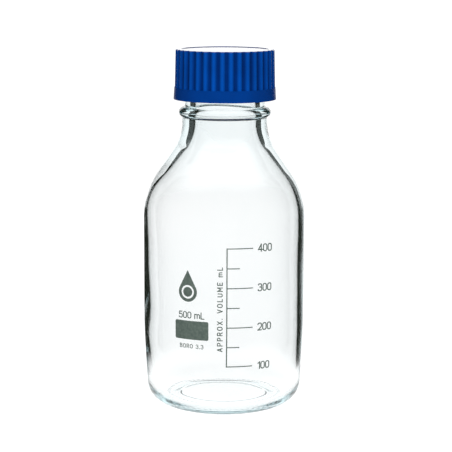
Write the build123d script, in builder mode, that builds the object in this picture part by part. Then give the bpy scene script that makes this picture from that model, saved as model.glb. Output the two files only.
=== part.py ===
from build123d import *
import os
from math import asin, atan, cos, degrees, sin

# A 500 mL laboratory reagent bottle with a GL 45 screw neck: a glass bottle with fired enamel
# markings, a plastic pouring ring snapped over its lip, and a ribbed screw cap that holds a
# two-layer seal. Millimetres, +Z up, the bottle's axis on Z, its foot on z = 0. The graduated
# side faces -Y.

# ---------------------------------------------------------------- driving dimensions

# glass body, outside
BODY_R = 42.0
TAPER_TOP_Z = 41.0              # below this height the wall draws in a little
TAPER_FILLET = 300.0
FOOT_CORNER_R = 39.9            # where the drawn-in wall would meet the ground
HEEL_FILLET = 11.3
STAND_R = 27.8                  # inner edge of the ring that the bottle stands on
SHOULDER_LOW = (BODY_R, 111.8)  # corners of the shoulder cone before rounding
SHOULDER_HIGH = (22.1, 140.9)
SHOULDER_LOW_FILLET = 45.0
SHOULDER_HIGH_FILLET = 21.5

# glass body, underside and inside
PUNT_R = 22.2                   # edge of the shallow dome that the base is pushed up into
PUNT_EDGE_Z = 0.35
PUNT_RIDGE_R = 23.2             # hollow ring round the dome, where the base is a step higher
PUNT_RIDGE_Z = 0.75
PUNT_CENTRE_Z = 0.9
STIPPLE_COUNT = 64              # small radial notches on the standing ring
STIPPLE_R = 29.75
STIPPLE_LENGTH = 1.6
STIPPLE_WIDTH = 0.55
STIPPLE_DEPTH = 0.5
WALL = 2.5
INNER_R = BODY_R - WALL
FLOOR_Z = 4.3
FLOOR_CENTRE_Z = 5.0
INNER_HEEL_FILLET = 7.5
BORE_R = 15.25
INNER_SHOULDER_LOW_Z = 111.4
INNER_SHOULDER_HIGH_Z = 140.3
INNER_SHOULDER_LOW_FILLET = 35.0
INNER_SHOULDER_HIGH_FILLET = 20.0

# neck
NECK_R = SHOULDER_HIGH[0]
BEAD_R = 23.85                  # round transfer bead under the cap
BEAD_Z = 153.3
BEAD_LOW_Z = 150.7
BEAD_HIGH_Z = 155.8
THREAD_ROOT_R = 20.75
THREAD_CREST_R = 22.4
GROOVE_R = 19.0                 # groove that the pouring ring snaps into
GROOVE_LOW_Z = 175.3
GROOVE_HIGH_Z = 176.8
LIP_R = 20.0
LIP_TOP_Z = 181.0
LIP_ROUND = 0.7

# GL 45 thread, right-handed
PITCH = 4.0
GLASS_THREAD_START_Z = 164.6
GLASS_THREAD_TURNS = 1.75
GLASS_THREAD_ROOT_WIDTH = 1.9
GLASS_THREAD_CREST_WIDTH = 1.0
CAP_THREAD_TURNS = 1.75
CAP_THREAD_ROOT_WIDTH = 1.6
CAP_THREAD_CREST_WIDTH = 0.8
CAP_THREAD_CREST_R = 21.5
CAP_THREAD_DROP = 1.45          # the cap's ridge sits this far below the glass ridge
THREAD_SINK = 0.4               # how far a ridge is let into its wall

# pouring ring
RING_R = 21.2
RING_BORE_R = 15.6
RING_SKIRT_INNER_R = 20.1
RING_SNAP_R = 19.35
RING_BOTTOM_Z = 174.8
RING_CREST_Z = 182.38

# screw cap
CAP_BOTTOM_Z = 160.0
CAP_TOP_Z = 185.6
BAND_TOP_Z = 166.0              # smooth band below, ribs above
BAND_BOTTOM_R = 26.5
BAND_TOP_R = 26.15
RIB_BOTTOM_R = 25.9
RIB_TOP_R = 25.5
RIB_DEPTH = 0.95
RIB_COUNT = 36
RIB_RADIUS = 2.0
RIB_START = -2.9                # degrees round the axis to the first rib
CAP_EDGE_ROUND = 0.8
TOP_RECESS_R = 22.6
TOP_RECESS = 0.25
CAP_BORE_R = 22.8
CAP_MOUTH_R = 23.5
CAP_MOUTH_CHAMFER = 0.9
CAP_ROOF_Z = 184.0
SEAL_POCKET_R = 22.0
SEAL_POCKET_Z = 182.25          # top of the small bead that keeps the seal in the cap
RETAINER_R = 21.5
RETAINER_Z = 181.3

# seal
SEAL_R = 21.8
FACING_BOTTOM_Z = 182.4
FACING_THICKNESS = 0.3
SEAL_TOP_Z = 183.98

# enamel markings: places are arc lengths along the glass, from the middle of its front
INK = 0.06
PRINT_DEPTH = 39.0              # the markings' sketch planes stand this far from the axis
PRINT_REACH = 4.0               # and are extruded this far, through the glass surface
STROKE = 0.58
SCALE_ARC = 1.5
SCALE_LOW_Z = 28.0              # the 100 mL line
SCALE_STEP_Z = 20.25            # 100 mL further up
MAJOR_END_ARC = 14.9
MINOR_END_ARC = 8.0
NUMERAL_ARC = 21.45
NUMERAL_HEIGHT = 4.1
CAPTION_ARC = -2.0
CAPTION_Z = 57.6
CAPTION_HEIGHT = 2.9
CAPTION_STROKE = 0.5
CAPTION_GAP = 1.35
LABEL_ARC = -16.95              # the marks left of the scale are centred here
CAPACITY_Z = 54.1
CAPACITY_HEIGHT = 3.6
FIELD_SIZE = (18.2, 9.7)
FIELD_Z = 46.3
FIELD_CORNER = 0.9
GLASS_TYPE_Z = 38.0
GLASS_TYPE_HEIGHT = 2.3
GLASS_TYPE_STROKE = 0.36
DROP_ARC = -18.9
DROP_Z = 66.0                   # centre of the droplet's round part
DROP_R = 5.1
DROP_TIP = 11.2                 # from that centre to the droplet's tip

os.makedirs("parts", exist_ok=True)


# ---------------------------------------------------------------- helpers


def helical_ridge(start_z, turns, wall_r, crest_r, root_width, crest_width):
    """One right-handed thread ridge that stands from wall_r to crest_r, let into its wall."""
    inward = -1 if crest_r > wall_r else 1
    root_r = wall_r + inward * THREAD_SINK
    with BuildPart() as ridge:
        with BuildLine():
            helix = Helix(PITCH, PITCH * turns, wall_r, center=(0, 0, start_z))
        with BuildSketch(Plane(helix @ 0, x_dir=(1, 0, 0), z_dir=helix % 0)):
            with BuildLine():
                Polyline(
                    (root_r - wall_r, -root_width / 2),
                    (crest_r - wall_r, -crest_width / 2),
                    (crest_r - wall_r, crest_width / 2),
                    (root_r - wall_r, root_width / 2),
                    close=True,
                )
            make_face()
        sweep(is_frenet=True)
    return ridge.part


def wall_line(proud=0.0):
    """The outside of the glass from the standing ring to the bead, or a line just proud of it."""
    return FilletPolyline(
        (STAND_R, -proud),
        (FOOT_CORNER_R + proud, -proud),
        (BODY_R + proud, TAPER_TOP_Z),
        (SHOULDER_LOW[0] + proud, SHOULDER_LOW[1]),
        (SHOULDER_HIGH[0] + proud, SHOULDER_HIGH[1]),
        (NECK_R + proud, BEAD_LOW_Z),
        radius=[HEEL_FILLET, TAPER_FILLET, SHOULDER_LOW_FILLET, SHOULDER_HIGH_FILLET],
    )


def glass_plane(arc):
    """An upright plane that faces outwards just under the glass, at an arc length from the front."""
    angle = arc / BODY_R
    outward = Vector(sin(angle), -cos(angle), 0)
    return Plane(outward * PRINT_DEPTH, x_dir=outward.rotate(Axis.Z, 90), z_dir=outward)


def chord(arc):
    """Where an arc length from a plane's middle lands on that plane."""
    return BODY_R * sin(arc / BODY_R)


# Letters as pen strokes in a cell 1 high: (corner radius, points). A stroke of two points is a
# straight bar with square ends; a longer one is rounded at every corner.
GLYPHS = {
    "0": (
        0.56,
        [
            (0.27, [(0.28, 1), (0.56, 1), (0.56, 0), (0.28, 0)]),
            (0.27, [(0.28, 1), (0, 1), (0, 0), (0.28, 0)]),
        ],
    ),
    "1": (0.30, [(0, [(0.30, 0), (0.30, 1)]), (0, [(0.04, 0.80), (0.27, 0.97)])]),
    "2": (0.56, [(0.2, [(0, 0.74), (0, 1), (0.56, 1), (0.56, 0.5), (0.06, 0.02)]), (0, [(0, 0), (0.56, 0)])]),
    "3": (
        0.56,
        [
            (0.2, [(0.02, 0.78), (0.02, 1), (0.54, 1), (0.54, 0.54), (0.2, 0.54)]),
            (0.2, [(0.2, 0.54), (0.56, 0.54), (0.56, 0), (0, 0), (0, 0.24)]),
        ],
    ),
    "4": (0.6, [(0, [(0.46, 0), (0.46, 1)]), (0, [(0.46, 1), (0.02, 0.26)]), (0, [(0, 0.26), (0.62, 0.26)])]),
    "5": (
        0.56,
        [
            (0, [(0.06, 1), (0.52, 1)]),
            (0, [(0.06, 1), (0.03, 0.53)]),
            (0.2, [(0.03, 0.62), (0.56, 0.62), (0.56, 0), (0, 0), (0, 0.22)]),
        ],
    ),
    "A": (0.66, [(0, [(0, 0), (0.31, 1)]), (0, [(0.66, 0), (0.35, 1)]), (0, [(0.14, 0.3), (0.52, 0.3)])]),
    "B": (
        0.56,
        [
            (0, [(0, 0), (0, 1)]),
            (0.18, [(0, 1), (0.5, 1), (0.5, 0.54), (0, 0.54)]),
            (0.18, [(0, 0.54), (0.56, 0.54), (0.56, 0), (0, 0)]),
        ],
    ),
    "E": (0.5, [(0, [(0, 0), (0, 1)]), (0, [(0, 1), (0.5, 1)]), (0, [(0, 0.5), (0.44, 0.5)]), (0, [(0, 0), (0.5, 0)])]),
    "L": (0.48, [(0, [(0, 0), (0, 1)]), (0, [(0, 0), (0.48, 0)])]),
    "M": (
        0.72,
        [
            (0, [(0, 0), (0, 1)]),
            (0, [(0.72, 0), (0.72, 1)]),
            (0, [(0, 1), (0.36, 0.3)]),
            (0, [(0.72, 1), (0.36, 0.3)]),
        ],
    ),
    "O": (
        0.66,
        [
            (0.32, [(0.33, 1), (0.66, 1), (0.66, 0), (0.33, 0)]),
            (0.32, [(0.33, 1), (0, 1), (0, 0), (0.33, 0)]),
        ],
    ),
    "P": (0.56, [(0, [(0, 0), (0, 1)]), (0.22, [(0, 1), (0.56, 1), (0.56, 0.44), (0, 0.44)])]),
    "R": (
        0.58,
        [
            (0, [(0, 0), (0, 1)]),
            (0.22, [(0, 1), (0.56, 1), (0.56, 0.46), (0, 0.46)]),
            (0, [(0.26, 0.46), (0.58, 0)]),
        ],
    ),
    "U": (0.6, [(0.28, [(0, 1), (0, 0), (0.6, 0), (0.6, 1)])]),
    "V": (0.62, [(0, [(0, 1), (0.29, 0)]), (0, [(0.62, 1), (0.33, 0)])]),
    "X": (0.6, [(0, [(0, 0), (0.6, 1)]), (0, [(0, 1), (0.6, 0)])]),
    "m": (
        0.84,
        [
            (0, [(0, 0), (0, 0.7)]),
            (0.19, [(0, 0.4), (0, 0.7), (0.42, 0.7), (0.42, 0)]),
            (0.19, [(0.42, 0.4), (0.42, 0.7), (0.84, 0.7), (0.84, 0)]),
        ],
    ),
    ".": (0.02, [(0, [(0, 0), (0, 0.02)])]),
    " ": (0.2, []),
}


def write(text, height, stroke, gap, centre=(0, 0), upright=False):
    """Draw a line of text in the sketch being built, centred, along x or, upright, along y."""
    size = height - stroke
    widths = [GLYPHS[letter][0] * size for letter in text]
    length = sum(widths) + gap * (len(text) - 1)
    pen = -length / 2
    for letter, width in zip(text, widths):
        for radius, points in GLYPHS[letter][1]:
            placed = [(pen + x * size, y * size - size / 2) for x, y in points]
            if upright:
                placed = [(-y, x) for x, y in placed]
            placed = [(centre[0] + x, centre[1] + y) for x, y in placed]
            with BuildLine() as pen_line:
                if radius:
                    FilletPolyline(*placed, radius=radius * size)
                else:
                    start = Vector(*placed[0])
                    end = Vector(*placed[1])
                    reach = (end - start).normalized() * (stroke / 2)
                    Line(start - reach, end + reach)
            trace(pen_line.line, line_width=stroke)
        pen += width + gap


# ---------------------------------------------------------------- glass bottle

glass_ridge = helical_ridge(
    GLASS_THREAD_START_Z,
    GLASS_THREAD_TURNS,
    THREAD_ROOT_R,
    THREAD_CREST_R,
    GLASS_THREAD_ROOT_WIDTH,
    GLASS_THREAD_CREST_WIDTH,
)

with BuildPart() as bottle:
    with BuildSketch(Plane.XZ):
        with BuildLine():
            dome = TangentArc((0, PUNT_CENTRE_Z), (PUNT_R, PUNT_EDGE_Z), tangent=(1, 0))
            Polyline(dome @ 1, (PUNT_RIDGE_R, PUNT_RIDGE_Z), (STAND_R, 0))
            wall = wall_line()
            bead = ThreePointArc(wall @ 1, (BEAD_R, BEAD_Z), (THREAD_ROOT_R, BEAD_HIGH_Z))
            lip = Polyline(
                bead @ 1,
                (THREAD_ROOT_R, GROOVE_LOW_Z - 1.1),
                (GROOVE_R, GROOVE_LOW_Z),
                (GROOVE_R, GROOVE_HIGH_Z),
                (LIP_R, GROOVE_HIGH_Z + 0.6),
                (LIP_R, LIP_TOP_Z - LIP_ROUND),
            )
            outer_round = RadiusArc(lip @ 1, (LIP_R - LIP_ROUND, LIP_TOP_Z), -LIP_ROUND)
            rim = Line(outer_round @ 1, (BORE_R + LIP_ROUND, LIP_TOP_Z))
            inner_round = RadiusArc(rim @ 1, (BORE_R, LIP_TOP_Z - LIP_ROUND), -LIP_ROUND)
            inside = FilletPolyline(
                inner_round @ 1,
                (BORE_R, INNER_SHOULDER_HIGH_Z),
                (INNER_R, INNER_SHOULDER_LOW_Z),
                (INNER_R, TAPER_TOP_Z),
                (FOOT_CORNER_R - WALL, FLOOR_Z),
                (0, FLOOR_CENTRE_Z),
                radius=[INNER_SHOULDER_HIGH_FILLET, INNER_SHOULDER_LOW_FILLET, TAPER_FILLET, INNER_HEEL_FILLET],
            )
            Line(inside @ 1, dome @ 0)
        make_face()
    revolve(axis=Axis.Z)
    add(glass_ridge)
    with PolarLocations(STIPPLE_R, STIPPLE_COUNT):
        Box(STIPPLE_LENGTH, STIPPLE_WIDTH, 2 * STIPPLE_DEPTH, mode=Mode.SUBTRACT)

# ---------------------------------------------------------------- pouring ring

with BuildPart() as pouring_ring:
    with BuildSketch(Plane.XZ):
        with BuildLine():
            Polyline(
                (RING_BORE_R, LIP_TOP_Z),
                (RING_BORE_R, LIP_TOP_Z + 0.5),
                (RING_SKIRT_INNER_R - 0.8, LIP_TOP_Z + 0.9),
                (RING_SKIRT_INNER_R + 0.1, RING_CREST_Z),
                (RING_R - 0.3, RING_CREST_Z),
                (RING_R, RING_CREST_Z - 0.4),
                (RING_R, RING_BOTTOM_Z + 0.2),
                (RING_R - 0.2, RING_BOTTOM_Z),
                (RING_SKIRT_INNER_R + 0.2, RING_BOTTOM_Z),
                (RING_SNAP_R, RING_BOTTOM_Z + 0.9),
                (RING_SNAP_R, RING_BOTTOM_Z + 1.4),
                (RING_SKIRT_INNER_R, RING_BOTTOM_Z + 2.1),
                (RING_SKIRT_INNER_R, LIP_TOP_Z),
                close=True,
            )
        make_face()
    revolve(axis=Axis.Z)

# ---------------------------------------------------------------- screw cap

rib_lean = degrees(atan((RIB_BOTTOM_R - RIB_TOP_R) / (CAP_TOP_Z - BAND_TOP_Z)))
rib_middle_r = (RIB_BOTTOM_R + RIB_TOP_R) / 2 - RIB_RADIUS
rib_middle_z = (BAND_TOP_Z + CAP_TOP_Z) / 2
rib_length = CAP_TOP_Z - BAND_TOP_Z + 1.0

cap_ridge = helical_ridge(
    GLASS_THREAD_START_Z - CAP_THREAD_DROP,
    CAP_THREAD_TURNS,
    CAP_BORE_R,
    CAP_THREAD_CREST_R,
    CAP_THREAD_ROOT_WIDTH,
    CAP_THREAD_CREST_WIDTH,
)

# the skin that the ribs and the smooth band fit inside
with BuildPart() as cap_envelope:
    with BuildSketch(Plane.XZ):
        with BuildLine():
            skin = Polyline(
                (0, CAP_BOTTOM_Z),
                (BAND_BOTTOM_R, CAP_BOTTOM_Z),
                (BAND_TOP_R, BAND_TOP_Z),
                (RIB_BOTTOM_R, BAND_TOP_Z),
                (RIB_TOP_R, CAP_TOP_Z - CAP_EDGE_ROUND),
            )
            edge = RadiusArc(skin @ 1, (RIB_TOP_R - CAP_EDGE_ROUND, CAP_TOP_Z), -CAP_EDGE_ROUND)
            Polyline(edge @ 1, (0, CAP_TOP_Z), (0, CAP_BOTTOM_Z))
        make_face()
    revolve(axis=Axis.Z)

with BuildPart() as screw_cap:
    with BuildSketch(Plane.XZ):
        with BuildLine():
            Polyline(
                (0, CAP_BOTTOM_Z),
                (BAND_BOTTOM_R, CAP_BOTTOM_Z),
                (BAND_TOP_R, BAND_TOP_Z),
                (RIB_BOTTOM_R - RIB_DEPTH, BAND_TOP_Z),
                (RIB_TOP_R - RIB_DEPTH, CAP_TOP_Z),
                (0, CAP_TOP_Z),
                close=True,
            )
        make_face()
    revolve(axis=Axis.Z)
    with PolarLocations(rib_middle_r, RIB_COUNT, start_angle=RIB_START):
        with Locations(Location((0, 0, rib_middle_z), (0, -rib_lean, 0))):
            Cylinder(RIB_RADIUS, rib_length)
    add(cap_envelope.part, mode=Mode.INTERSECT)
    with Locations((0, 0, CAP_TOP_Z)):
        Cylinder(TOP_RECESS_R, 2 * TOP_RECESS, mode=Mode.SUBTRACT)
    with BuildSketch(Plane.XZ):
        with BuildLine():
            Polyline(
                (0, CAP_BOTTOM_Z),
                (CAP_MOUTH_R, CAP_BOTTOM_Z),
                (CAP_BORE_R, CAP_BOTTOM_Z + CAP_MOUTH_CHAMFER),
                (CAP_BORE_R, RETAINER_Z - 1.3),
                (RETAINER_R, RETAINER_Z),
                (RETAINER_R, SEAL_POCKET_Z - 0.3),
                (SEAL_POCKET_R, SEAL_POCKET_Z),
                (SEAL_POCKET_R, CAP_ROOF_Z),
                (0, CAP_ROOF_Z),
                close=True,
            )
        make_face()
    revolve(axis=Axis.Z, mode=Mode.SUBTRACT)
    add(cap_ridge)

# ---------------------------------------------------------------- seal

facing_top_z = FACING_BOTTOM_Z + FACING_THICKNESS

with BuildPart() as ptfe_facing:
    with BuildSketch(Plane.XY.offset(FACING_BOTTOM_Z)):
        Circle(SEAL_R)
    extrude(amount=FACING_THICKNESS)

with BuildPart() as seal_disc:
    with BuildSketch(Plane.XY.offset(facing_top_z)):
        Circle(SEAL_R)
    extrude(amount=SEAL_TOP_Z - facing_top_z)
    fillet(seal_disc.faces().sort_by(Axis.Z)[-1].edges(), radius=0.2)

# ---------------------------------------------------------------- enamel markings

# the thin film just outside the glass that every marking is cut from
with BuildPart() as film:
    with BuildSketch(Plane.XZ):
        with BuildLine():
            glass_side = wall_line()
            film_side = wall_line(INK)
            Line(glass_side @ 0, film_side @ 0)
            Line(glass_side @ 1, film_side @ 1)
        make_face()
    revolve(axis=Axis.Z)

scale_middle = (SCALE_ARC + MAJOR_END_ARC) / 2

with BuildPart() as graduation_scale:
    with BuildSketch(glass_plane(scale_middle)):
        left = chord(SCALE_ARC - scale_middle)
        top_z = SCALE_LOW_Z + 3 * SCALE_STEP_Z
        with Locations((left, (SCALE_LOW_Z + top_z) / 2)):
            Rectangle(STROKE, top_z - SCALE_LOW_Z + STROKE)
        for half_step in range(7):
            end_arc = MAJOR_END_ARC if half_step % 2 == 0 else MINOR_END_ARC
            tick = chord(end_arc - scale_middle) - left
            with Locations((left + tick / 2, SCALE_LOW_Z + half_step * SCALE_STEP_Z / 2)):
                Rectangle(tick, STROKE * 0.9)
    extrude(amount=PRINT_REACH)
    add(film.part, mode=Mode.INTERSECT)

with BuildPart() as graduation_numerals:
    with BuildSketch(glass_plane(NUMERAL_ARC)):
        for step in range(4):
            height_z = SCALE_LOW_Z + step * SCALE_STEP_Z
            write(f"{100 * (step + 1)}", NUMERAL_HEIGHT, STROKE, 0.75, (0, height_z))
    extrude(amount=PRINT_REACH)
    add(film.part, mode=Mode.INTERSECT)

with BuildPart() as scale_caption:
    with BuildSketch(glass_plane(CAPTION_ARC)):
        write("APPROX. VOLUME mL", CAPTION_HEIGHT, CAPTION_STROKE, CAPTION_GAP, (0, CAPTION_Z), upright=True)
    extrude(amount=PRINT_REACH)
    add(film.part, mode=Mode.INTERSECT)

with BuildPart() as capacity_text:
    with BuildSketch(glass_plane(LABEL_ARC)):
        write("500 mL", CAPACITY_HEIGHT, STROKE * 0.9, 0.75, (0, CAPACITY_Z))
    extrude(amount=PRINT_REACH)
    add(film.part, mode=Mode.INTERSECT)

with BuildPart() as glass_type_text:
    with BuildSketch(glass_plane(LABEL_ARC)):
        write("BORO 3.3", GLASS_TYPE_HEIGHT, GLASS_TYPE_STROKE, 0.75, (0, GLASS_TYPE_Z))
    extrude(amount=PRINT_REACH)
    add(film.part, mode=Mode.INTERSECT)

with BuildPart() as marking_field:
    with BuildSketch(glass_plane(LABEL_ARC)):
        with Locations((0, FIELD_Z)):
            RectangleRounded(*FIELD_SIZE, FIELD_CORNER)
    extrude(amount=PRINT_REACH)
    add(film.part, mode=Mode.INTERSECT)

with BuildPart() as droplet_mark:
    tangent = asin(DROP_R / DROP_TIP)
    touch_x = DROP_R * cos(tangent)
    touch_y = DROP_R * sin(tangent)
    with BuildSketch(glass_plane(DROP_ARC)):
        with Locations((0, DROP_Z)):
            Circle(DROP_R)
            Polygon((-touch_x, touch_y), (touch_x, touch_y), (0, DROP_TIP), align=None)
            Circle(DROP_R * 0.68, mode=Mode.SUBTRACT)
            Circle(DROP_R * 0.5)
    extrude(amount=PRINT_REACH)
    add(film.part, mode=Mode.INTERSECT)

# ---------------------------------------------------------------- export

PARTS = {
    "bottle": bottle,
    "pouring_ring": pouring_ring,
    "screw_cap": screw_cap,
    "seal_disc": seal_disc,
    "ptfe_facing": ptfe_facing,
    "graduation_scale": graduation_scale,
    "graduation_numerals": graduation_numerals,
    "scale_caption": scale_caption,
    "capacity_text": capacity_text,
    "glass_type_text": glass_type_text,
    "marking_field": marking_field,
    "droplet_mark": droplet_mark,
}

for name, piece in PARTS.items():
    piece.part.label = name
    export_step(piece.part, f"parts/{name}.step")
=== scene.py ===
import math

import bmesh
import bpy
from mathutils import Matrix, Vector


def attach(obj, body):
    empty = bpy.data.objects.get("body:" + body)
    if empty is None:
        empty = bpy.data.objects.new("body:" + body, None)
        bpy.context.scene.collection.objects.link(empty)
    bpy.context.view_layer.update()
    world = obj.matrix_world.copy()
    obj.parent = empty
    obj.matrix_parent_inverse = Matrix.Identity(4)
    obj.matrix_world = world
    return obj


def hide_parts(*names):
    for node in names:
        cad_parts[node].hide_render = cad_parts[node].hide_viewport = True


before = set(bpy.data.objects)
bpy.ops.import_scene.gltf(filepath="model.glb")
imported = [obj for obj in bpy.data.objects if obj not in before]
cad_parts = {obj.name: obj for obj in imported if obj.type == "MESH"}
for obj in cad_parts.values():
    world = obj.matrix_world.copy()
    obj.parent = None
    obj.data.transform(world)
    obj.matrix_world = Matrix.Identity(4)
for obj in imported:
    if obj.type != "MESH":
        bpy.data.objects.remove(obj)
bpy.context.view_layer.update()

MM = 0.001

# ---------------------------------------------------------------- sizes, in millimetres

# glass, outside: the same corners and roundings as the CAD bottle
BODY_R = 42.0
STAND_R = 27.8
STAND_JOIN_R = STAND_R + 0.4    # where the underside's line hands over to the wall's
FOOT_CORNER_R = 39.9
TAPER_TOP_Z = 41.0
SHOULDER_LOW_Z = 111.8
SHOULDER_HIGH_Z = 140.9
NECK_R = 22.1
OUTER_ROUNDINGS = [11.3, 300.0, 45.0, 21.5]
BEAD_R = 23.85
BEAD_Z = 153.3
BEAD_LOW_Z = 150.7
BEAD_HIGH_Z = 155.8
BEAD_CREASE = 0.35              # rounding of the creases below and above the bead
BEAD_MARGIN = 1.2               # height of neck left plain on either side of the bead
BEAD_POINTS = 28
BEAD_TRIM = 3                   # points at each end of the bead's arc that the creases take over
THREAD_ROOT_R = 20.75
THREAD_CREST_R = 22.4
GROOVE_R = 19.0
GROOVE_LOW_Z = 175.3
GROOVE_HIGH_Z = 176.8
LIP_R = 20.0
LIP_TOP_Z = 181.0
LIP_ROUND = 0.7
BORE_JOIN_Z = LIP_TOP_Z - 4     # where the outside's line hands over to the inside's, down the bore

# glass thread, right-handed
PITCH = 4.0
THREAD_START_Z = 164.6
THREAD_TURNS = 1.75
THREAD_HALF_ROOT = 0.95
THREAD_HALF_CREST = 0.5
THREAD_FADE_TURNS = 0.12

# glass, underside and inside
PUNT_R = 22.2
PUNT_EDGE_Z = 0.35
PUNT_LEAD_R = PUNT_R - 0.6      # where the outline starts, just inside the punt's edge
PUNT_LEAD_Z = PUNT_EDGE_Z + 0.08
PUNT_RIDGE_R = 23.2
PUNT_RIDGE_Z = 0.75
PUNT_ROUNDINGS = [0.3, 0.4, 2.0]
PUNT_CENTRE_Z = 0.9
STIPPLE_COUNT = 64
STIPPLE_R = 29.75
STIPPLE_LENGTH = 1.6
STIPPLE_DEPTH = 0.5
STIPPLE_TOP_Z = 1.2             # nothing higher than this belongs to the standing ring
WALL = 2.5
FLOOR_Z = 4.3
FLOOR_CENTRE_Z = 5.0
BORE_R = 15.25
INNER_SHOULDER_LOW_Z = 111.4
INNER_SHOULDER_HIGH_Z = 140.3
INNER_ROUNDINGS = [20.0, 35.0, 300.0, 7.5]

COLUMNS_PER_STIPPLE = 4
SEGMENTS = COLUMNS_PER_STIPPLE * STIPPLE_COUNT
DOME_RINGS = [0.8, 0.6, 0.4, 0.2]       # shares of the edge's radius at which a dome has a ring

# how finely the glass outline is divided, from place to place
WALL_STEP = 1.5
UNDERSIDE_STEP = 0.7
HEEL_STEP = 0.4
HEEL_TOP_Z = 4.0
THREAD_STEP = 0.2
THREAD_MARGIN = 2.0             # height below the thread's start that is already divided finely
GROOVE_SLOPE = 1.1              # height of the slope from the neck into the rim groove
GROOVE_LIP_SLOPE = 0.6          # height of the slope from the groove out to the lip
GROOVE_STEP = 0.4
LIP_STEP = 1.2
UNDERSIDE_ARC_STEP = 0.15       # along the rounded corners of the underside
LIP_ARC_STEP = 0.25             # and of the lip

# How far the inner wall stands off its even place, as (height, distance) on the +X and the -X side.
# Outward is positive and thins the wall. The values are chosen so that the dark bands at
# the glass edge fall where they should: the +X side is thick up to the shoulder and thin in the
# neck, the -X side thick low down and thin below the shoulder.
WALL_DRIFT_RIGHT = [
    (20, 0), (32, -0.3), (46, -0.6), (60, -0.6), (80, -0.6), (96, -0.6),
    (108, -0.7), (116, -0.6), (124, -0.3), (132, 0.1), (142, 0.8), (152, 0.8), (166, 0),
]
WALL_DRIFT_LEFT = [
    (20, 0.2), (34, 0), (46, -0.5), (60, -0.3), (76, 0.1), (92, 0.7), (104, 0.7),
    (114, 0.4), (122, 0.1), (130, 0), (140, 0.2), (152, 0), (166, 0),
]
DRIFT_START_Z = FLOOR_Z + 1     # the drift sets in above this height
DRIFT_EASE = 14.0               # and reaches its full size this much further up
RIPPLE = 0.08                   # a slight ripple on top of the drift
RIPPLE_LOBES = 3
RIPPLE_TWIST = 9.0
RIPPLE_RISE = 17.0

# screw cap: the places its colour is worked from, in metres as in object space
CAP_TOP = 185.6 * MM
CAP_BAND_TOP = 166.0 * MM
RIB_COUNT = 36
RIB_START = math.radians(-2.9)
CAP_BAND_SHADE = 0.36           # colour of the plain band: 0 is the grooves' painted shade, 1 the crests' painted highlight
CAP_TOP_FROM = CAP_TOP - 0.8 * MM       # between these, the ribs' painted shade and painted highlight give way to the polished top
CAP_TOP_TO = CAP_TOP - 0.4 * MM
# painted shade for the rib grooves and painted highlight for the rib tops, each from a darker to a lighter
# random flow tone
CAP_GROOVE_PAINTED_SHADE_DARK = (0.0, 0.014, 0.10)
CAP_GROOVE_PAINTED_SHADE_LIGHT = (0.0, 0.019, 0.13)
CAP_CREST_PAINTED_HIGHLIGHT_DARK = (0.0, 0.050, 0.28)
CAP_CREST_PAINTED_HIGHLIGHT_LIGHT = (0.0, 0.060, 0.34)

# ---------------------------------------------------------------- camera


CAMERA_PLACE = (0.0009, -0.835, 0.2364)
CAMERA_TILT = 9.73              # degrees below level
CAMERA_ROLL = 0.25
CAMERA_LENS = 128.8


def make_camera():
    """Seen from the front, from a little above the cap's top and tilted down."""
    data = bpy.data.cameras.new("camera")
    data.sensor_width = 36.0
    data.lens = CAMERA_LENS
    data.dof.use_dof = False
    camera = bpy.data.objects.new("camera", data)
    camera.location = CAMERA_PLACE
    level = Matrix.Rotation(math.radians(90 - CAMERA_TILT), 3, "X")
    roll = Matrix.Rotation(math.radians(CAMERA_ROLL), 3, "Z")
    camera.rotation_euler = (level @ roll).to_euler()
    bpy.context.scene.collection.objects.link(camera)
    bpy.context.scene.camera = camera


make_camera()

# ---------------------------------------------------------------- curves and meshes


def rounded(corners, radii, step=1.2):
    """Points along a line of corners whose inner corners are rounded with tangent arcs."""
    points = [Vector(corners[0])]
    for index, radius in enumerate(radii):
        before = Vector(corners[index])
        corner = Vector(corners[index + 1])
        after = Vector(corners[index + 2])
        into = (corner - before).normalized()
        out = (after - corner).normalized()
        turn = into.angle(out)
        reach = radius * math.tan(turn / 2)
        start = corner - into * reach
        end = corner + out * reach
        side = 1 if into.x * out.y - into.y * out.x > 0 else -1
        centre = start + Vector((-into.y, into.x)) * side * radius
        count = max(3, int(radius * turn / step))
        spoke = start - centre
        for number in range(count + 1):
            swing = side * turn * number / count
            turned = Vector((
                spoke.x * math.cos(swing) - spoke.y * math.sin(swing),
                spoke.x * math.sin(swing) + spoke.y * math.cos(swing),
            ))
            points.append(centre + turned)
    points.append(Vector(corners[-1]))
    return points


def arc_through(start, middle, end, count):
    """Points along the circular arc through three points."""
    a, b = middle - start, end - start
    across = 2 * (a.x * b.y - a.y * b.x)
    centre = start + Vector((
        (b.y * a.length_squared - a.y * b.length_squared) / across,
        (a.x * b.length_squared - b.x * a.length_squared) / across,
    ))
    first = start - centre
    turn = -first.angle_signed(middle - centre) - (middle - centre).angle_signed(end - centre)
    points = []
    for number in range(count + 1):
        swing = turn * number / count
        points.append(centre + Vector((
            first.x * math.cos(swing) - first.y * math.sin(swing),
            first.x * math.sin(swing) + first.y * math.cos(swing),
        )))
    return points


def crease(before, corner, after, radius):
    """A corner rounded to a radius, without the two points it lies between."""
    return rounded([before, corner, after], [radius], step=0.1)[1:]


def divided(points, step):
    """The same line with no gap between points longer than step."""
    result = [points[0]]
    for point in points[1:]:
        gap = (point - result[-1]).length
        if gap < 1e-4:
            continue
        count = max(1, math.ceil(gap / step))
        start = result[-1]
        for number in range(1, count + 1):
            result.append(start.lerp(point, number / count))
    return result


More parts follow.
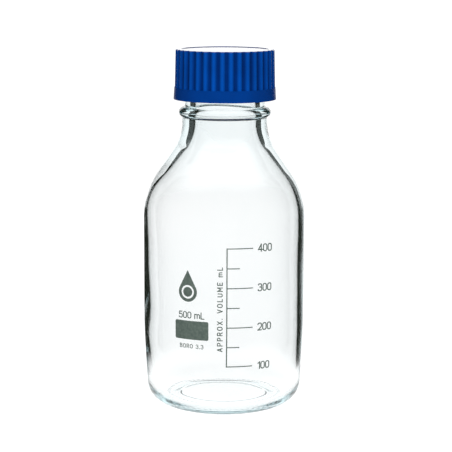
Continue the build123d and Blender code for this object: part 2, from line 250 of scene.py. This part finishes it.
def smooth_value(knots, position):
    """A value read from (position, value) knots by a smooth curve through them."""
    if position <= knots[0][0]:
        return knots[0][1]
    if position >= knots[-1][0]:
        return knots[-1][1]
    index = max(i for i, knot in enumerate(knots) if knot[0] <= position)
    low, low_value = knots[index]
    high, high_value = knots[index + 1]
    before = knots[max(index - 1, 0)]
    after = knots[min(index + 2, len(knots) - 1)]
    low_slope = (high_value - before[1]) / (high - before[0])
    high_slope = (after[1] - low_value) / (after[0] - low)
    reach = high - low
    t = (position - low) / reach
    return (
        low_value * (2 * t**3 - 3 * t**2 + 1)
        + low_slope * reach * (t**3 - 2 * t**2 + t)
        + high_value * (3 * t**2 - 2 * t**3)
        + high_slope * reach * (t**3 - t**2)
    )


def mesh_object(name, vertices, faces):
    """A smooth-shaded mesh object from vertices in millimetres."""
    mesh = bpy.data.meshes.new(name)
    mesh.from_pydata([tuple(MM * c for c in v) for v in vertices], [], faces)
    mesh.shade_smooth()
    mesh.validate()
    obj = bpy.data.objects.new(name, mesh)
    bpy.context.scene.collection.objects.link(obj)
    return obj


# ---------------------------------------------------------------- glass bottle


def outer_profile():
    """Outside of the glass, from the dome under the base, up over the lip and a little down the bore."""
    points = rounded(
        [
            (PUNT_LEAD_R, PUNT_LEAD_Z),
            (PUNT_R, PUNT_EDGE_Z),
            (PUNT_RIDGE_R, PUNT_RIDGE_Z),
            (STAND_R, 0),
            (STAND_JOIN_R, 0),
        ],
        PUNT_ROUNDINGS,
        step=UNDERSIDE_ARC_STEP,
    )
    points = divided(points, UNDERSIDE_STEP)
    wall = rounded(
        [
            (STAND_JOIN_R, 0),
            (FOOT_CORNER_R, 0),
            (BODY_R, TAPER_TOP_Z),
            (BODY_R, SHOULDER_LOW_Z),
            (NECK_R, SHOULDER_HIGH_Z),
            (NECK_R, BEAD_LOW_Z - BEAD_MARGIN),
        ],
        OUTER_ROUNDINGS,
    )
    wall = divided(wall, WALL_STEP)
    heel = [p for p in wall if p.y < HEEL_TOP_Z]
    points += divided(heel, HEEL_STEP)[1:] + [p for p in wall if p.y >= HEEL_TOP_Z]
    bead_low = Vector((NECK_R, BEAD_LOW_Z))
    bead_apex = Vector((BEAD_R, BEAD_Z))
    bead_high = Vector((THREAD_ROOT_R, BEAD_HIGH_Z))
    above_bead = Vector((THREAD_ROOT_R, BEAD_HIGH_Z + BEAD_MARGIN))
    bead = arc_through(bead_low, bead_apex, bead_high, BEAD_POINTS)
    points += crease(points[-1], bead[0], bead[BEAD_TRIM - 1], BEAD_CREASE)
    points += bead[BEAD_TRIM:-BEAD_TRIM]
    points += crease(bead[-BEAD_TRIM], bead[-1], above_bead, BEAD_CREASE)
    below_thread = Vector((THREAD_ROOT_R, THREAD_START_Z - THREAD_MARGIN))
    above_thread = Vector((THREAD_ROOT_R, GROOVE_LOW_Z - GROOVE_SLOPE))
    points += divided([points[-1], below_thread], WALL_STEP)[1:]
    points += divided([points[-1], above_thread], THREAD_STEP)[1:]
    groove = [
        points[-1],
        Vector((GROOVE_R, GROOVE_LOW_Z)),
        Vector((GROOVE_R, GROOVE_HIGH_Z)),
        Vector((LIP_R, GROOVE_HIGH_Z + GROOVE_LIP_SLOPE)),
    ]
    points += divided(groove, GROOVE_STEP)[1:]
    lip = rounded(
        [
            (LIP_R, GROOVE_HIGH_Z + GROOVE_LIP_SLOPE),
            (LIP_R, LIP_TOP_Z),
            (BORE_R, LIP_TOP_Z),
            (BORE_R, BORE_JOIN_Z),
        ],
        [LIP_ROUND, LIP_ROUND],
        step=LIP_ARC_STEP,
    )
    points += divided(lip, LIP_STEP)[1:]
    return points


def inner_profile():
    """Inside of the glass, from a little down the bore to the edge of the floor's dome."""
    corners = [
        (BORE_R, BORE_JOIN_Z),
        (BORE_R, INNER_SHOULDER_HIGH_Z),
        (BODY_R - WALL, INNER_SHOULDER_LOW_Z),
        (BODY_R - WALL, TAPER_TOP_Z),
        (FOOT_CORNER_R - WALL, FLOOR_Z),
        (PUNT_R, FLOOR_Z),
    ]
    return divided(rounded(corners, INNER_ROUNDINGS), WALL_STEP)


def thread_height(angle, z):
    """How far the thread ridge stands out of the neck at an angle and height."""
    turns = angle / math.tau
    height = 0.0
    for lap in range(math.ceil(THREAD_TURNS)):
        along = turns + lap
        if along > THREAD_TURNS:
            break
        off = abs(z - THREAD_START_Z - PITCH * along)
        if off < THREAD_HALF_ROOT:
            flank = (THREAD_HALF_ROOT - off) / (THREAD_HALF_ROOT - THREAD_HALF_CREST)
            fade = min(1.0, along / THREAD_FADE_TURNS, (THREAD_TURNS - along) / THREAD_FADE_TURNS)
            fade = max(0.0, fade)
            height = (THREAD_CREST_R - THREAD_ROOT_R) * min(1.0, flank) * fade * fade * (3 - 2 * fade)
    return height


def wall_drift(angle, z):
    """How far the inner wall stands off its even place."""
    share = (1 + math.cos(angle)) / 2
    drift = share * smooth_value(WALL_DRIFT_RIGHT, z) + (1 - share) * smooth_value(WALL_DRIFT_LEFT, z)
    ripple = math.sin(RIPPLE_LOBES * angle + z / RIPPLE_TWIST) * math.sin(z / RIPPLE_RISE)
    return drift + RIPPLE * ripple


def skin_point(point, side, column):
    """Where an outline point lies in one column of the skin, with what the glass has there."""
    angle = math.tau * column / SEGMENTS
    r, z = point
    if side == "out" and THREAD_START_Z - THREAD_MARGIN < z < GROOVE_LOW_Z:
        r += thread_height(angle, z)
    on_mark = column % COLUMNS_PER_STIPPLE == 0 and abs(r - STIPPLE_R) < STIPPLE_LENGTH / 2
    if side == "out" and z < STIPPLE_TOP_Z and on_mark:
        z += STIPPLE_DEPTH
    if side == "in" and z > DRIFT_START_Z:
        r += min(1.0, (z - DRIFT_START_Z) / DRIFT_EASE) * wall_drift(angle, z)
    return r * math.cos(angle), r * math.sin(angle), z


def close_with_dome(vertices, faces, row, edge, centre_z, under):
    """Close one end of the skin, from a row of it in to the axis, by a shallow dome."""
    base = row * SEGMENTS
    last = [base + column for column in range(SEGMENTS)]
    edge_r, edge_z = edge
    for share in DOME_RINGS:
        ring = []
        z = centre_z + (edge_z - centre_z) * share * share
        for column in range(SEGMENTS):
            angle = math.tau * column / SEGMENTS
            ring.append(len(vertices))
            vertices.append((edge_r * share * math.cos(angle), edge_r * share * math.sin(angle), z))
        for column in range(SEGMENTS):
            after = (column + 1) % SEGMENTS
            quad = (last[column], ring[column], ring[after], last[after])
            faces.append(quad if under else quad[::-1])
        last = ring
    middle = len(vertices)
    vertices.append((0, 0, centre_z))
    for column in range(SEGMENTS):
        after = (column + 1) % SEGMENTS
        tri = (last[column], middle, last[after])
        faces.append(tri if under else tri[::-1])


def make_bottle():
    """The bottle as one closed turned skin, with its thread, stipple marks and uneven inner wall."""
    rows = [(p, "out") for p in outer_profile()] + [(p, "in") for p in inner_profile()[1:]]
    vertices = [skin_point(*row, column) for row in rows for column in range(SEGMENTS)]
    faces = []
    for row in range(len(rows) - 1):
        for column in range(SEGMENTS):
            after = (column + 1) % SEGMENTS
            low, high = row * SEGMENTS, (row + 1) * SEGMENTS
            faces.append((low + column, low + after, high + after, high + column))
    close_with_dome(vertices, faces, 0, rows[0][0], PUNT_CENTRE_Z, True)
    close_with_dome(vertices, faces, len(rows) - 1, rows[-1][0], FLOOR_CENTRE_Z, False)
    obj = mesh_object("glass_bottle", vertices, faces)
    shell = bmesh.new()
    shell.from_mesh(obj.data)
    bmesh.ops.recalc_face_normals(shell, faces=shell.faces)
    shell.to_mesh(obj.data)
    shell.free()
    obj.data.shade_smooth()
    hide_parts("bottle")
    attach(obj, "bottle")
    return obj


# ---------------------------------------------------------------- materials


def new_material(name):
    """An empty node material and its tree, shader and output."""
    material = bpy.data.materials.new(name)
    material.use_nodes = True
    tree = material.node_tree
    return material, tree, tree.nodes["Principled BSDF"], tree.nodes["Material Output"]


def add_node(tree, kind, **settings):
    """A node with its input sockets set by name."""
    node = tree.nodes.new(kind)
    for key, value in settings.items():
        node.inputs[key.replace("_", " ")].default_value = value
    return node


def noise(tree, scale, detail=4.0, roughness=0.5):
    """Noise in object space."""
    coordinates = tree.nodes.new("ShaderNodeTexCoord")
    node = add_node(tree, "ShaderNodeTexNoise", Scale=scale, Detail=detail, Roughness=roughness)
    tree.links.new(coordinates.outputs["Object"], node.inputs["Vector"])
    return node


def grey(value):
    """A grey as a colour."""
    return (value, value, value)


def connect(tree, value, socket):
    """Set a socket to a number, or link another node's output to it."""
    if isinstance(value, (int, float)):
        socket.default_value = value
    else:
        tree.links.new(value, socket)


def ramp(tree, source, low, high, low_at=0.35, high_at=0.65):
    """A colour between two colours, by a source between 0 and 1."""
    node = tree.nodes.new("ShaderNodeValToRGB")
    node.color_ramp.elements[0].position = low_at
    node.color_ramp.elements[1].position = high_at
    node.color_ramp.elements[0].color = (*low, 1)
    node.color_ramp.elements[1].color = (*high, 1)
    tree.links.new(source, node.inputs["Fac"])
    return node.outputs["Color"]


def bump(tree, shader, source, strength, distance):
    """Relief on the shader's normal."""
    node = add_node(tree, "ShaderNodeBump", Strength=strength, Distance=distance)
    tree.links.new(source, node.inputs["Height"])
    tree.links.new(node.outputs["Normal"], shader.inputs["Normal"])


def map_range(tree, source, low_at, high_at, low=0.0, high=1.0, smooth=False):
    """A value rescaled from one range to another and held at the ends."""
    node = add_node(tree, "ShaderNodeMapRange", From_Min=low_at, From_Max=high_at, To_Min=low, To_Max=high)
    if smooth:
        node.interpolation_type = "SMOOTHSTEP"
    tree.links.new(source, node.inputs["Value"])
    return node.outputs["Result"]


def calculate(tree, operation, *values):
    """One math node; each value is a number or another node's output."""
    node = tree.nodes.new("ShaderNodeMath")
    node.operation = operation
    for number, value in enumerate(values):
        connect(tree, value, node.inputs[number])
    return node.outputs[0]


def mix(tree, kind, factor, low, high):
    """A blend from one value or colour to another, by a factor from 0 to 1."""
    node = tree.nodes.new("ShaderNodeMix")
    node.data_type = kind
    connect(tree, factor, node.inputs["Factor"])
    connect(tree, low, node.inputs["A"])
    connect(tree, high, node.inputs["B"])
    return node.outputs["Result"]


def glass_material():
    """Clear borosilicate glass with a faint cool tint, drawn-surface waviness and handling marks."""
    material, tree, shader, output = new_material("borosilicate_glass")
    shader.inputs["Base Color"].default_value = (1, 1, 1, 1)
    shader.inputs["Transmission Weight"].default_value = 1.0
    shader.inputs["IOR"].default_value = 1.473
    marks = noise(tree, 45.0, 6.0, 0.6)
    rough = ramp(tree, marks.outputs["Fac"], grey(0.0), grey(0.012), 0.6, 0.8)
    tree.links.new(rough, shader.inputs["Roughness"])
    waves = noise(tree, 30.0, 1.0)
    bump(tree, shader, waves.outputs["Fac"], 0.04, 0.001)
    absorb = tree.nodes.new("ShaderNodeVolumeAbsorption")
    absorb.inputs["Color"].default_value = (0.5, 0.81, 0.86, 1)
    absorb.inputs["Density"].default_value = 15.0
    tree.links.new(absorb.outputs["Volume"], output.inputs["Volume"])
    return material


def plastic_material(name, dark, light, roughness):
    """Moulded plastic: a slight flow variation, a fine satin grain and scuffs."""
    material, tree, shader, output = new_material(name)
    flow = noise(tree, 60.0, 3.0)
    tree.links.new(ramp(tree, flow.outputs["Fac"], dark, light), shader.inputs["Base Color"])
    scuffs = noise(tree, 260.0, 5.0, 0.65)
    rough = ramp(tree, scuffs.outputs["Fac"], grey(roughness - 0.05), grey(roughness + 0.07))
    tree.links.new(rough, shader.inputs["Roughness"])
    satin = noise(tree, 1800.0, 2.0)
    bump(tree, shader, satin.outputs["Fac"], 0.1, 0.0001)
    shader.inputs["IOR"].default_value = 1.49
    return material


def cap_material():
    """Royal blue polypropylene: polished on top, satin round the side. Round the side the rib shading is
    painted into the colour: a painted highlight along the top of each rib and painted shade in the
    grooves."""
    material, tree, shader, output = new_material("blue_cap_plastic")
    coordinates = tree.nodes.new("ShaderNodeTexCoord")
    axes = tree.nodes.new("ShaderNodeSeparateXYZ")
    tree.links.new(coordinates.outputs["Object"], axes.inputs[0])
    # the ribs' light and shade are painted into the colour: 1 along the top of each rib is painted
    # highlight, 0 in each groove painted shade
    angle = calculate(tree, "ARCTAN2", axes.outputs["Y"], axes.outputs["X"])
    phase = calculate(tree, "MULTIPLY", calculate(tree, "SUBTRACT", angle, RIB_START), RIB_COUNT)
    crest_highlight_share = map_range(tree, calculate(tree, "COSINE", phase), -1.0, 1.0)
    top = map_range(tree, axes.outputs["Z"], CAP_TOP_FROM, CAP_TOP_TO)
    above_band = calculate(tree, "GREATER_THAN", axes.outputs["Z"], CAP_BAND_TOP)
    ribbed = calculate(tree, "SUBTRACT", above_band, top)
    # the plain band and the polished top take one even colour between the painted shade and the painted
    # highlight
    shade = mix(tree, "FLOAT", ribbed, CAP_BAND_SHADE, crest_highlight_share)
    flow = noise(tree, 60.0, 3.0)
    # painted shade for the grooves and painted highlight for the rib tops, each with a random flow tone
    groove_painted_shade = ramp(tree, flow.outputs["Fac"], CAP_GROOVE_PAINTED_SHADE_DARK, CAP_GROOVE_PAINTED_SHADE_LIGHT)
    crest_painted_highlight = ramp(tree, flow.outputs["Fac"], CAP_CREST_PAINTED_HIGHLIGHT_DARK, CAP_CREST_PAINTED_HIGHLIGHT_LIGHT)
    tree.links.new(mix(tree, "RGBA", shade, groove_painted_shade, crest_painted_highlight), shader.inputs["Base Color"])
    scuffs = noise(tree, 260.0, 5.0, 0.65)
    satin = ramp(tree, scuffs.outputs["Fac"], grey(0.3), grey(0.42))
    polish = ramp(tree, scuffs.outputs["Fac"], grey(0.05), grey(0.12))
    tree.links.new(mix(tree, "RGBA", top, satin, polish), shader.inputs["Roughness"])
    grain = noise(tree, 1800.0, 2.0)
    bump(tree, shader, grain.outputs["Fac"], 0.06, 0.0001)
    shader.inputs["IOR"].default_value = 1.49
    shader.inputs["Specular IOR Level"].default_value = 0.15
    tree.links.new(top, shader.inputs["Coat Weight"])
    shader.inputs["Coat IOR"].default_value = 1.6
    shader.inputs["Coat Roughness"].default_value = 0.06
    return material


def enamel_material():
    """Fired grey-green enamel, slightly mottled and grainy."""
    material, tree, shader, output = new_material("fired_enamel")
    mottle = noise(tree, 700.0, 4.0)
    green = ramp(tree, mottle.outputs["Fac"], (0.085, 0.115, 0.1), (0.125, 0.16, 0.14))
    tree.links.new(green, shader.inputs["Base Color"])
    grain = noise(tree, 2500.0, 2.0)
    bump(tree, shader, grain.outputs["Fac"], 0.15, 0.00005)
    shader.inputs["Roughness"].default_value = 0.55
    shader.inputs["Specular IOR Level"].default_value = 0.3
    return material


def dress(node, material):
    """Give a CAD node a material in every slot."""
    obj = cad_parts[node]
    obj.data.materials.clear()
    obj.data.materials.append(material)


# ---------------------------------------------------------------- studio

BACKDROP_WHITE = 1.13           # glow of the surroundings, seen directly or through the glass
FLOOR_WHITE = BACKDROP_WHITE - 0.03
FLOOR_TO_DIFFUSE = 0.14         # how strongly the floor and the surroundings light matt surfaces
WORLD_TO_DIFFUSE = 0.09
WORLD_TO_GLOSSY = 1.15          # glow of the surroundings after a reflection
FLOOR_HALF = 4.0
FLOOR_DROP = 0.0001             # the bottle stands a hair above the floor, so that no faces coincide
CARD_SOLID_HEIGHT = 0.19        # the cards fade out from this height to their upper edge
CARD_HEIGHT = 0.42
CARD_GREY = (0.017, 0.020, 0.015, 1)
CARD_CENTRE_X = 0.040           # each side's dark card bends round the bottle's own edge
CARD_RADIUS = 0.115
LEFT_OPENING = (8, 19)          # degrees off straight back that each side leaves white,
RIGHT_OPENING = (17, 22)        # below and above the height of the step
CARD_STEP = 0.095
CARD_PANELS = 24
CARD_FOOT_FROM = 0.038          # radii over which the floor in front of a card darkens towards it
CARD_FOOT_TO = 0.100


def plane_object(name, corners):
    """A single flat stage panel, in metres."""
    mesh = bpy.data.meshes.new(name)
    mesh.from_pydata(corners, [], [tuple(range(len(corners)))])
    obj = bpy.data.objects.new(name, mesh)
    bpy.context.scene.collection.objects.link(obj)
    return obj


def light_path_switch(tree, pick, if_true, if_false):
    """One of two values, by whether a light path output is true, or a depth is at least 1."""
    path = tree.nodes.new("ShaderNodeLightPath")
    test = calculate(tree, "GREATER_THAN", path.outputs[pick], 0.5)
    return mix(tree, "FLOAT", test, if_false, if_true)


def white_sweep():
    """A pale floor that glows evenly white, with a weak matt part that takes a soft shadow."""
    material, tree, shader, output = new_material("white_sweep")
    tree.nodes.remove(shader)
    glow = tree.nodes.new("ShaderNodeEmission")
    strength = light_path_switch(tree, "Is Diffuse Ray", FLOOR_TO_DIFFUSE, FLOOR_WHITE)
    tree.links.new(strength, glow.inputs["Strength"])
    matt = add_node(tree, "ShaderNodeBsdfDiffuse", Color=(0.12, 0.12, 0.12, 1))
    both = tree.nodes.new("ShaderNodeAddShader")
    tree.links.new(glow.outputs[0], both.inputs[0])
    tree.links.new(matt.outputs[0], both.inputs[1])
    tree.links.new(both.outputs[0], output.inputs["Surface"])
    signs = [(-1, -1), (1, -1), (1, 1), (-1, 1)]
    floor = plane_object("floor", [(x * FLOOR_HALF, y * FLOOR_HALF, -FLOOR_DROP) for x, y in signs])
    floor.data.materials.append(material)


def card_line(side, opening, radius):
    """Plan of one side's card, bent round the bottle from the back to the front's middle."""
    line = []
    for number in range(CARD_PANELS + 1):
        swing = math.radians(opening + (180 - opening) * number / CARD_PANELS)
        line.append((side * (CARD_CENTRE_X + radius * math.sin(swing)), radius * math.cos(swing)))
    return line + [(0, -radius)]


def black_cards():
    """Near-black cards round the bottle, and a dark foot to each on the floor. Only light that has
    been reflected meets them, so they draw dark edges and never hide what is straight behind."""
    material, tree, shader, output = new_material("black_card")
    tree.nodes.remove(shader)
    place = tree.nodes.new("ShaderNodeNewGeometry")
    axes = tree.nodes.new("ShaderNodeSeparateXYZ")
    tree.links.new(place.outputs["Position"], axes.inputs[0])
    across = calculate(tree, "SUBTRACT", calculate(tree, "ABSOLUTE", axes.outputs["X"]), CARD_CENTRE_X)
    across = calculate(tree, "MAXIMUM", across, 0.0)
    across_squared = calculate(tree, "POWER", across, 2.0)
    along_squared = calculate(tree, "MULTIPLY", axes.outputs["Y"], axes.outputs["Y"])
    away = calculate(tree, "SQRT", calculate(tree, "ADD", across_squared, along_squared))
    foot = map_range(tree, away, CARD_FOOT_FROM, CARD_FOOT_TO, smooth=True)
    head = map_range(tree, axes.outputs["Z"], CARD_SOLID_HEIGHT, CARD_HEIGHT, 1.0, 0.0)
    strength = calculate(tree, "MULTIPLY", foot, head)
    dark = add_node(tree, "ShaderNodeEmission", Color=CARD_GREY)
    clear = tree.nodes.new("ShaderNodeBsdfTransparent")
    card = tree.nodes.new("ShaderNodeMixShader")
    tree.links.new(light_path_switch(tree, "Glossy Depth", strength, 0.0), card.inputs["Fac"])
    tree.links.new(clear.outputs[0], card.inputs[1])
    tree.links.new(dark.outputs[0], card.inputs[2])
    tree.links.new(card.outputs[0], output.inputs["Surface"])
    for name, side, (lower, upper) in (
        ("card_left", -1, LEFT_OPENING),
        ("card_right", 1, RIGHT_OPENING),
    ):
        for part, opening, near, low, far, high in (
            ("low", lower, CARD_RADIUS, 0, CARD_RADIUS, CARD_STEP),
            ("high", upper, CARD_RADIUS, CARD_STEP, CARD_RADIUS, CARD_HEIGHT),
            ("foot", lower, CARD_FOOT_FROM, 0, CARD_RADIUS, 0),
        ):
            bottom = card_line(side, opening, near)
            top = card_line(side, opening, far)
            for number in range(len(bottom) - 1):
                corners = [(*bottom[number], low), (*bottom[number + 1], low)]
                corners += [(*top[number + 1], high), (*top[number], high)]
                panel = plane_object(f"{name}_{part}_{number}", corners)
                panel.data.materials.append(material)


def white_world():
    """Even white all round, a shade brighter in reflections and dim as light on matt surfaces."""
    world = bpy.data.worlds.new("studio")
    bpy.context.scene.world = world
    world.use_nodes = True
    tree = world.node_tree
    background = tree.nodes["Background"]
    reflected = light_path_switch(tree, "Glossy Depth", WORLD_TO_GLOSSY, BACKDROP_WHITE)
    strength = light_path_switch(tree, "Is Diffuse Ray", WORLD_TO_DIFFUSE, reflected)
    tree.links.new(strength, background.inputs["Strength"])
    background.inputs["Color"].default_value = (1, 1, 1, 1)


def area_light(name, place, target, size, power):
    """A soft square lamp aimed at a point."""
    data = bpy.data.lights.new(name, "AREA")
    data.shape = "SQUARE"
    data.size = size
    data.energy = power
    lamp = bpy.data.objects.new(name, data)
    lamp.location = place
    lamp.rotation_euler = (Vector(target) - Vector(place)).to_track_quat("-Z", "Y").to_euler()
    lamp.visible_camera = False
    lamp.visible_transmission = False
    lamp.visible_glossy = False
    bpy.context.scene.collection.objects.link(lamp)


# ---------------------------------------------------------------- put it together

bottle = make_bottle()
bottle.data.materials.append(glass_material())

enamel = enamel_material()
for name in (
    "graduation_scale",
    "graduation_numerals",
    "scale_caption",
    "capacity_text",
    "glass_type_text",
    "marking_field",
    "droplet_mark",
):
    dress(name, enamel)

dress("screw_cap", cap_material())
dress("pouring_ring", plastic_material("blue_ring_plastic", (0.0, 0.06, 0.3), (0.0, 0.075, 0.36), 0.3))
dress("seal_disc", plastic_material("red_silicone", (0.35, 0.05, 0.03), (0.42, 0.07, 0.04), 0.6))
dress("ptfe_facing", plastic_material("white_ptfe", (0.72, 0.72, 0.7), (0.8, 0.8, 0.77), 0.5))

white_sweep()
black_cards()
white_world()
area_light("key", place=(0.0, -0.8, 0.6), target=(0, 0, 0.12), size=0.4, power=10.5)
area_light("top", place=(0.0, 0.1, 1.0), target=(0, 0, 0.1), size=0.6, power=3.0)

scene = bpy.context.scene
scene.view_settings.view_transform = "Standard"
scene.cycles.max_bounces = 32
scene.cycles.transmission_bounces = 32
scene.cycles.glossy_bounces = 32
scene.cycles.transparent_max_bounces = 24
scene.cycles.caustics_refractive = True
scene.cycles.sample_clamp_indirect = 8.0
